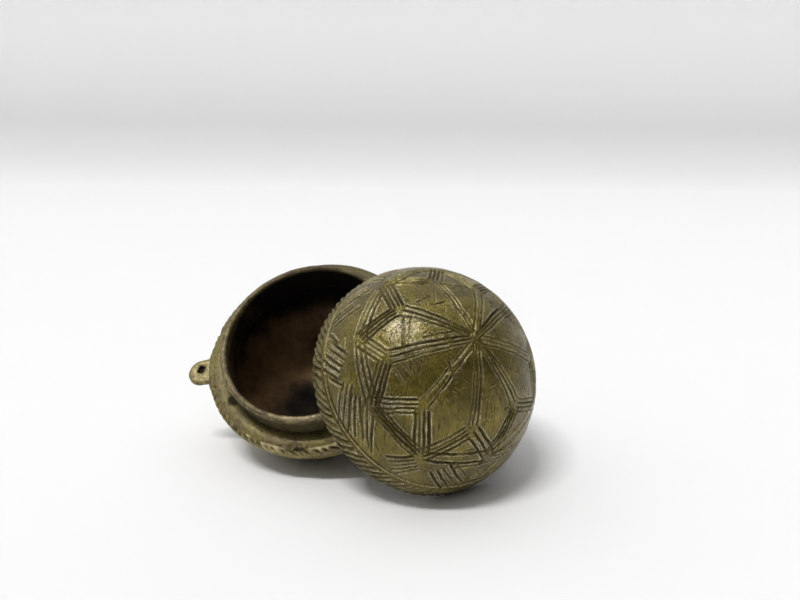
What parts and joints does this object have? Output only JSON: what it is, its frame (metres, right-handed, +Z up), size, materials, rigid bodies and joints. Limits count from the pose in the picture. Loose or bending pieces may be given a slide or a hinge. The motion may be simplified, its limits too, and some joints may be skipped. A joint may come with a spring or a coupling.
{
  "type": "spherical box",
  "caption": "Engraved brass spherical box lying open, its bowl tilted on its round side and its domed lid leaning against the bowl.",
  "frame": {"origin": "centre of the footprint's bounding box, on the floor that both halves rest on", "axes": "+Z up; -Y to the side that the bowl's mouth and the lid's dome face; +X from the bowl towards the lid"},
  "size_m": [0.1108, 0.078, 0.062],
  "materials": {
    "bowl_brass": "aged cast brass, dark reddish brown inside, worn bright on its edges",
    "collar_brass": "thin collar worn to a warm grey brown",
    "worn_brass": "rubbed yellow brass with a dark underside",
    "lid_brass": "olive yellow aged brass with dark engraved lines"
  },
  "bodies": {
    "bowl": {"bowl_shell": "bowl_brass", "bowl_neck": "collar_brass", "lug": "worn_brass"},
    "lid": {"lid_shell": "lid_brass"}
  },
  "joints": [
    {"name": "lid_lift", "type": "slide", "parent": "bowl", "child": "lid", "axis": [0.3744, -0.7102, 0.5962], "range_m": [0, 0.08]}
  ]
}
